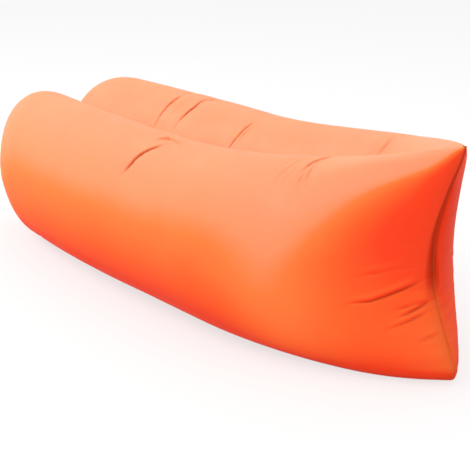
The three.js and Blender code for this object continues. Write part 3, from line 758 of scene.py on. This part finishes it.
def stitches(name, places, ways, length, half_thickness, thread, body):
    """Sewn stitches: a short low hump of thread at each place, along the first of its ways, on
    the side that the second points to. Each has six faces round and a narrower end on both
    sides."""
    along, out = (np.broadcast_to(way, places.shape) for way in ways)
    side = np.cross(out, along)
    rounds = np.linspace(0, 2 * math.pi, STITCH_SIDES + 1)[:-1]
    steps = np.array(STITCH_STEPS) * length
    fat = np.array(STITCH_FATNESS) * half_thickness
    ring = np.stack([np.cos(rounds), np.sin(rounds)], -1)
    shape = fat[:, None, None] * ring[None]
    vertices = (
        places[:, None, None]
        + along[:, None, None] * steps[None, :, None, None]
        + side[:, None, None] * shape[None, ..., :1]
        + out[:, None, None] * shape[None, ..., 1:]
    )
    index = np.arange(vertices[..., 0].size).reshape(vertices.shape[:3])
    a, b = index[:, :-1], index[:, 1:]
    quads = np.stack([a, np.roll(a, -1, 2), np.roll(b, -1, 2), b], -1).reshape(-1, 4)
    ends = np.concatenate([index[:, 0, ::-1], index[:, -1]])
    piece = new_piece(name, vertices.reshape(-1, 3).tolist(), quads.tolist() + ends.tolist())
    piece.data.materials.append(thread)
    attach(piece, body)
    return piece


seam_tape = ribbed_tape("seam_tape", TAPE_RED, TAPE_DARK, TAPE_RIB_PITCH, 0.003)
thread_red, _ = new_material("thread_red", (0.7, 0.09, 0.02, 1), 0.6)
tape_outline = flat_outline(SEAM_TAPE_HALF, SEAM_TAPE_WIDTH / 2, 9)
tape_x = np.linspace(SEAM_START.x, SEAM_END.x, TAPE_ROWS)
tape_z = (SEAM_START.z + SEAM_END.z) / 2
tape_sway = TAPE_SWAY * np.sin(tape_x * TAPE_SWAY_WAVES)
tape_origins = np.stack([tape_x, tape_sway, np.full(TAPE_ROWS, tape_z)], -1)
tape_points = swept_grid(tape_outline, tape_origins, Y_WAY, Z_WAY)
centre_tape = grid_mesh("centre_seam_tape", tape_points, start="strip")
store_measure(centre_tape, tape_x, tape_outline[:, 1])
centre_tape.data.materials.append(seam_tape)
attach(centre_tape, "lounger")
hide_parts("centre_seam_strip")
stitch_x = np.arange(
    SEAM_START.x + SEAM_STITCH_PITCH, SEAM_END.x - SEAM_STITCH_PITCH, SEAM_STITCH_PITCH
)
for face, side in (("far", 1.0), ("near", -1.0)):
    seats = np.concatenate([
        np.stack([stitch_x, 0 * stitch_x + side * SEAM_TAPE_HALF, 0 * stitch_x + tape_z + row], -1)
        for row in (-SEAM_STITCH_ROW, SEAM_STITCH_ROW)
    ])
    sewn = stitches(
        face + "_seam_stitches", seats, (X_WAY, side * Y_WAY),
        SEAM_STITCH_LENGTH, SEAM_STITCH_HALF, thread_red, "lounger",
    )


# Head seam binding: a folded tape over the raw edges where both sleeves close at the head, in
# the cloth's orange at one fixed tone, with painted shade in the groove's upper part. It follows
# the drawn-in seam line, and its fold is all that shows in the groove.
BINDING_WIDTH, BINDING_SKY_SHARE = 0.012, 0.45
BINDING_HALF, BINDING_NOSE, BINDING_ROWS = 0.0004, 0.0011, 260
NOSE_TURN, NOSE_STEPS, LEG_START, LEG_SHIFT, LEG_STEPS = 2.3, 16, 0.003, 0.001, 8
binding_share = np.linspace(-1, 1, BINDING_ROWS)
binding_low, binding_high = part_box("head_seam_binding")
binding_z = binding_low.z + (binding_high.z - binding_low.z) * (binding_share + 1) / 2
binding_x = HEAD_X - head_draw(binding_share)
fold_turn = np.linspace(-NOSE_TURN, NOSE_TURN, NOSE_STEPS)
nose = np.stack([BINDING_NOSE * np.cos(fold_turn), BINDING_NOSE * np.sin(fold_turn)], -1)
leg_run = np.linspace(-LEG_START, LEG_SHIFT - BINDING_WIDTH, LEG_STEPS)
leg = np.stack([leg_run, np.full(LEG_STEPS, BINDING_HALF)], -1)
fold_outline = np.concatenate([leg[::-1] * [1, -1], nose, leg])
binding_origins = np.stack([binding_x, 0 * binding_x, binding_z], -1)
binding_points = swept_grid(fold_outline, binding_origins, X_WAY, Y_WAY)
head_binding = grid_mesh("head_binding", binding_points, start="strip")
run = lengths_along(binding_origins)
store_measure(head_binding, run, fold_outline[:, 0])
# Painted shade in the seam's groove, fading towards the floor.
shade = groove_shade(binding_points, True)
store(head_binding, "sky_share", np.full_like(shade, BINDING_SKY_SHARE))
store(head_binding, "in_fold", shade)
head_binding.data.materials.append(cover_nylon)
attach(head_binding, "lounger")
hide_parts("head_seam_binding")


# Rolled mouth: the open ends of both sleeves, laid flat together, wound three turns round the
# stiffeners and bent into a ring. The cloth is gathered on the ring's inner side.
ROLL_TURNS, ROLL_LAYER, ROLL_PITCH = 3, 0.001, 0.00145
ROLL_CORE, ROLL_STRAIGHT, ROLL_SIDE_SHIFT = 0.00195, 0.01, 0.0003625
LOWER_GAP, UPPER_GAP = math.radians(20), math.radians(26)
ROLL_ROWS, ROLL_POINTS, HALF_TURN_STEPS = 300, 130, 13
ROLL_GATHER, ROLL_END_FADE, ROLL_SHADE, SHADE_DEPTH = 0.0007, 0.05, 0.35, 0.0012
ROLL_GATHERS, GATHER_LAG, ROLL_DRIFT, ROLL_DRIFTS = 61, 90, 1.7, 7
LAYER_RUN, ROLL_LEAST_SKY, ROLL_SKY_SHARE = 0.17, 0.12, 0.75


def roll_edge(side_offset):
    """One edge of the wound cloth's section: half circles of growing reach, start + pitch * half
    turns / 2, whose centres lie half a stiffener to either side, read back at even steps."""
    half = np.repeat(np.arange(2 * ROLL_TURNS), HALF_TURN_STEPS)
    turned = half + np.tile(np.linspace(0, 1, HALF_TURN_STEPS), 2 * ROLL_TURNS)
    turn = math.pi / 2 + math.pi * turned
    reach = ROLL_CORE + ROLL_PITCH * turned / 2 + side_offset
    side = np.where(half % 2 == 0, -ROLL_STRAIGHT, ROLL_STRAIGHT) - ROLL_SIDE_SHIFT
    edge = np.stack([reach * np.sin(turn), side + reach * np.cos(turn)], -1)
    steps = lengths_along(edge)
    even = np.linspace(0, steps[-1], ROLL_POINTS)
    return np.stack([np.interp(even, steps, edge[:, 0]), np.interp(even, steps, edge[:, 1])], -1)


def ring_frames(angles, radius):
    """Places round the ring and their outward directions, for angles from +X towards +Z."""
    across = np.stack([np.cos(angles), 0 * angles, np.sin(angles)], -1)
    return np.array([RING_X, 0, RING_Z]) + across * radius, across


roll_outline = np.concatenate([roll_edge(-ROLL_LAYER / 2), roll_edge(ROLL_LAYER / 2)[::-1]])
roll_angles = np.linspace(-math.pi + LOWER_GAP, math.pi - UPPER_GAP, ROLL_ROWS)
roll_origins, roll_across = ring_frames(roll_angles, RING_RADIUS)
roll_points = swept_grid(roll_outline, roll_origins, roll_across, Y_WAY)
from_ends = np.minimum(roll_angles - roll_angles[0], roll_angles[-1] - roll_angles)
end_fade = np.minimum(1, from_ends / ROLL_END_FADE)
uneven = ROLL_GATHERS * roll_angles + ROLL_DRIFT * np.sin(ROLL_DRIFTS * roll_angles)
gather = np.sin(uneven[:, None] + GATHER_LAG * roll_outline[None, :, 1])
inner_side = 0.5 - 0.5 * roll_outline[:, 0] / ROLL_HALF_THICKNESS
past_straight = np.maximum(abs(roll_outline[:, 1]) - ROLL_STRAIGHT, 0)
past_core = np.hypot(roll_outline[:, 0], past_straight) - ROLL_CORE
loose = inner_side * np.clip(past_core / (ROLL_HALF_THICKNESS - ROLL_CORE), 0, 1)
puckered = ROLL_GATHER * end_fade[:, None] * gather * loose
roll_points = roll_points + roll_across[:, None] * puckered[..., None]
rolled_mouth = grid_mesh("rolled_mouth_cloth", roll_points, start="strip")
# Painted light by how far each face turns towards the light, and painted shade over the roll,
# darkest in the gathers' hollows.
roll_facing = 0.5 + 0.5 * grid_normals(roll_points) @ PAINTED_LIGHT_WAY
layer_run = np.linspace(0, 1, ROLL_POINTS) * LAYER_RUN
store(rolled_mouth, "sky_share", roll_facing * ROLL_SKY_SHARE + ROLL_LEAST_SKY)
store(rolled_mouth, "in_fold", np.clip(ROLL_SHADE - puckered / SHADE_DEPTH, 0, 1) * ROLL_SHADE)
store_measure(
    rolled_mouth, roll_angles * RING_RADIUS, np.concatenate([layer_run, layer_run[::-1]])
)
rolled_mouth.data.materials.append(cover_nylon)
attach(rolled_mouth, "lounger")
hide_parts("rolled_mouth")


# Mouth stiffeners: two flat white plastic strips in the core of the roll, one in each lip of the
# mouth. They are bent with it, and only their cut ends show.
stiffener_strip, strip_shader = new_material("stiffener_strip")
strip = Wire(stiffener_strip.node_tree, None)
strip_place = strip.node("ShaderNodeTexCoord", None, 3)
scuffs = strip.noise(strip_place, 160.0, 3.0)
strip_tones = ((0.3, (0.7, 0.69, 0.65, 1)), (0.7, (0.82, 0.81, 0.78, 1)))
strip.link(strip.ramp(strip_tones, scuffs), strip_shader, "Base Color")
strip.link(0.35 + scuffs * 0.25, strip_shader, "Roughness")
for node in ("inner_mouth_stiffener", "outer_mouth_stiffener"):
    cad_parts[node].data.materials.clear()
    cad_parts[node].data.materials.append(stiffener_strip)


# Webbing tabs: black woven strap, sewn into both ends of the roll and looped round the bars of
# the buckle.
WEBBING_HALF_WIDTH, WEBBING_HALF = 0.0125, 0.0008
BAR_WRAP, PAIR_HALF, ROOT_GAP = 0.00285, 0.00095, 0.0003
WRAP_STEPS, RUN_STEPS = 19, 8
BUCKLE_X = RING_X - RING_RADIUS
SOCKET_BAR_Z, PLUG_BAR_Z = 0.219, 0.272
WEBBING_LIGHT, WEBBING_DARK = (0.035, 0.035, 0.04, 1), (0.008, 0.008, 0.01, 1)
TACK_ROWS, TACKS_IN_ROW, TACK_ROW_HALF = (0.0028, 0.0046), 10, 0.0105
TACK_LENGTH, TACK_HALF, BLEND_END_SHARE = 0.0019, 0.00032, 0.25
webbing_black = ribbed_tape("webbing", WEBBING_LIGHT, WEBBING_DARK, 0.0016, 0.0031)
thread_black, _ = new_material("thread_black", (0.05, 0.05, 0.055, 1), 0.55)
strap_outline = flat_outline(WEBBING_HALF, WEBBING_HALF_WIDTH, 13)


def tab_path(root, outward, bar):
    """The strap's middle line in the X-Z plane: from the roll's end, half a turn round the bar
    and back, with the direction that it faces at each point."""
    back = (root - bar) / np.linalg.norm(root - bar)
    side = np.array([back[2], 0, -back[0]])
    side = side if side @ outward > 0 else -side
    wrap = np.linspace(0, math.pi, WRAP_STEPS)[:, None]
    round_bar = side * np.cos(wrap) - back * np.sin(wrap)
    share = np.linspace(0, 1, RUN_STEPS)[:-1, None]
    out_leg = (root + outward * PAIR_HALF) * (1 - share) + (bar + side * BAR_WRAP) * share
    back_leg = (bar - side * BAR_WRAP) * (1 - share) + (root - outward * PAIR_HALF) * share
    home = (root - outward * PAIR_HALF)[None]
    out_face = outward * (1 - share) + side * share
    back_face = -side * (1 - share) - outward * share
    path = np.concatenate([out_leg, bar + round_bar * BAR_WRAP, back_leg[1:], home])
    faces = np.concatenate([out_face, round_bar, back_face[1:], -outward[None]])
    return path, faces / np.linalg.norm(faces, axis=1, keepdims=True)


for name, node, angle, bar_z, way in (
    ("socket_strap", "socket_webbing_tab", -math.pi + LOWER_GAP, SOCKET_BAR_Z, -1),
    ("plug_strap", "plug_webbing_tab", math.pi - UPPER_GAP, PLUG_BAR_Z, 1),
):
    end, outward = (row[0] for row in ring_frames(np.array([angle]), RING_RADIUS))
    onward = np.array([-math.sin(angle), 0, math.cos(angle)]) * way
    root, bar = end + onward * ROOT_GAP, np.array([BUCKLE_X, 0, bar_z])
    path, faces = tab_path(root, outward, bar)
    outline = strap_outline[::way]
    strap = grid_mesh(name, swept_grid(outline, path, faces, Y_WAY), start="strip")
    store_measure(strap, lengths_along(path), outline[:, 1])
    strap.data.materials.append(webbing_black)
    to_bar = (bar - root) / np.linalg.norm(bar - root)
    on_top = root + outward * (PAIR_HALF + WEBBING_HALF)
    places = np.linspace(-TACK_ROW_HALF, TACK_ROW_HALF, TACKS_IN_ROW)[:, None]
    seats = [on_top + to_bar * distance + places * Y_WAY for distance in TACK_ROWS]
    tacks = stitches(
        name + "_tacks", np.concatenate(seats), (Y_WAY, outward),
        TACK_LENGTH, TACK_HALF, thread_black, "lounger",
    )
    if name == "plug_strap":
        blend_end = bar + (root - bar) * BLEND_END_SHARE
        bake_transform(strap)
    else:
        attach(strap, "lounger")
    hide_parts(node)


# Side-release buckle: socket, plug and two spring arms, moulded in black nylon with a fine
# grain and soft patches of wear.
buckle_moulding, moulding_shader = new_material("buckle_moulding")
moulding = Wire(buckle_moulding.node_tree, None)
moulding_place = moulding.node("ShaderNodeTexCoord", None, 3)
grain = moulding.noise(moulding_place, 1800.0, 2.0)
wear = moulding.noise(moulding_place, 90.0, 4.0)
moulding_tones = ((0.35, (0.012, 0.012, 0.014, 1)), (0.75, (0.03, 0.03, 0.034, 1)))
moulding.link(moulding.ramp(moulding_tones, wear), moulding_shader, "Base Color")
moulding.link(0.36 + wear * 0.2, moulding_shader, "Roughness")
moulding.link(moulding.relief(grain, 0.35, 0.0001), moulding_shader, "Normal")
for node in ("buckle_socket", "buckle_plug", "far_latch_arm", "near_latch_arm"):
    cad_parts[node].data.materials.clear()
    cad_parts[node].data.materials.append(buckle_moulding)


# Floor, lamps and camera: a plain pale studio, seen from the photograph's angle. Seen directly,
# the floor is mostly white light of its own, which leaves a faint shadow.
FLOOR_SIZE, FLOOR_WHITENESS, SKY_LIGHT = 60.0, 0.7, 0.85
half = FLOOR_SIZE / 2
corners = [(-half, -half, 0), (half, -half, 0), (half, half, 0), (-half, half, 0)]
floor = new_piece("floor", corners, [(0, 1, 2, 3)])
floor_white, floor_shader = new_material("floor_white", (0.85, 0.85, 0.85, 1), 0.9)
floor_tree = Wire(floor_white.node_tree, None)


def seen_directly(wire):
    """1 where the camera, a mirror or glass sees the place, and 0 where it only lights others."""
    rays = [wire.node("ShaderNodeLightPath", None, output) for output in (0, 3, 6)]
    return wire.math("MAXIMUM", wire.math("MAXIMUM", rays[0], rays[1]), rays[2])


backdrop = floor_tree.node("ShaderNodeEmission", Color=(1, 1, 1, 1), Strength=1.0)
shadowed = Wire(floor_white.node_tree, floor_shader.outputs["BSDF"])
factor = seen_directly(floor_tree) * FLOOR_WHITENESS
white_out = floor_tree.node("ShaderNodeMixShader", Fac=factor, i1=shadowed, i2=backdrop)
floor_tree.link(white_out, floor_white.node_tree.nodes["Material Output"], "Surface")
floor_shader.inputs["Specular IOR Level"].default_value = 0.1
floor.data.materials.append(floor_white)

world = bpy.data.worlds.new("studio")
scene.world = world
world.use_nodes = True
sky = world.node_tree.nodes["Background"]
sky.inputs["Color"].default_value = (1, 1, 1, 1)
sky_tree = Wire(world.node_tree, None)
seen = seen_directly(sky_tree)
sky_level = seen.math("MAXIMUM", seen, SKY_LIGHT)
world.node_tree.links.new(sky_level.socket, sky.inputs["Strength"])


def area_lamp(name, place, aim, size, power):
    """A soft square lamp at a place, turned to its aim."""
    lamp = bpy.data.lights.new(name, "AREA")
    lamp.size, lamp.energy = size, power
    holder = bpy.data.objects.new(name, lamp)
    holder.location = place
    holder.rotation_euler = (Vector(aim) - Vector(place)).to_track_quat("-Z", "Y").to_euler()
    scene.collection.objects.link(holder)


area_lamp("key", (-2.6, -2.4, 3.0), (-0.1, 0, 0.3), 2.0, 90)
area_lamp("top", (-0.6, 1.2, 3.0), (0, 0, 0.3), 3.0, 25)
area_lamp("head", (3.0, -1.6, 1.6), (0.6, 0, 0.3), 2.0, 25)

CAMERA_AZIMUTH, CAMERA_ELEVATION = math.radians(49.77), math.radians(19.67)
CAMERA_DISTANCE = 4.146
CAMERA_TARGET = Vector((0.0516, 0.0221, 0.1591))
CAMERA_LENS = 102.9
lens = bpy.data.cameras.new("camera")
lens.lens, lens.sensor_width = CAMERA_LENS, 36
camera = bpy.data.objects.new("camera", lens)
back = Vector((
    math.sin(CAMERA_AZIMUTH) * math.cos(CAMERA_ELEVATION),
    -math.cos(CAMERA_AZIMUTH) * math.cos(CAMERA_ELEVATION),
    math.sin(CAMERA_ELEVATION),
))
camera.location = CAMERA_TARGET + back * CAMERA_DISTANCE
camera.rotation_euler = back.to_track_quat("Z", "Y").to_euler()
scene.collection.objects.link(camera)
scene.camera = camera
scene.view_settings.view_transform = "Standard"
